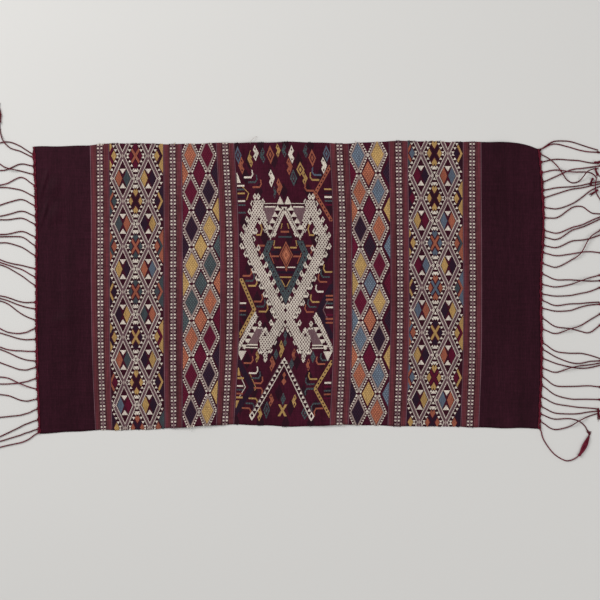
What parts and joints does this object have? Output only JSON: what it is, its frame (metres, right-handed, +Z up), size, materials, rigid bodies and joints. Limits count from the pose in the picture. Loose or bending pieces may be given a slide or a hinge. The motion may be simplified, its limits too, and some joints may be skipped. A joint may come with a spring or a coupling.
{
  "type": "brocaded silk hanging with fringed ends",
  "caption": "Hand-woven maroon silk cloth with bands of lozenge brocade and knotted fringe at both ends, laid flat.",
  "frame": {"origin": "middle of the cloth's underside, on the surface that it lies on", "axes": "+X along the cloth from one fringe to the other, +Y across it to its upper long edge, +Z up out of its face"},
  "size_m": [1.0516, 0.5641, 0.0074],
  "materials": {
    "cloth": "matt woven silk with brocade",
    "fringe_left": "plied silk yarn",
    "fringe_right": "plied silk yarn"
  },
  "bodies": {
    "root": {"cloth": "cloth", "fringe_left": "fringe_left", "fringe_right": "fringe_right"}
  },
  "joints": []
}
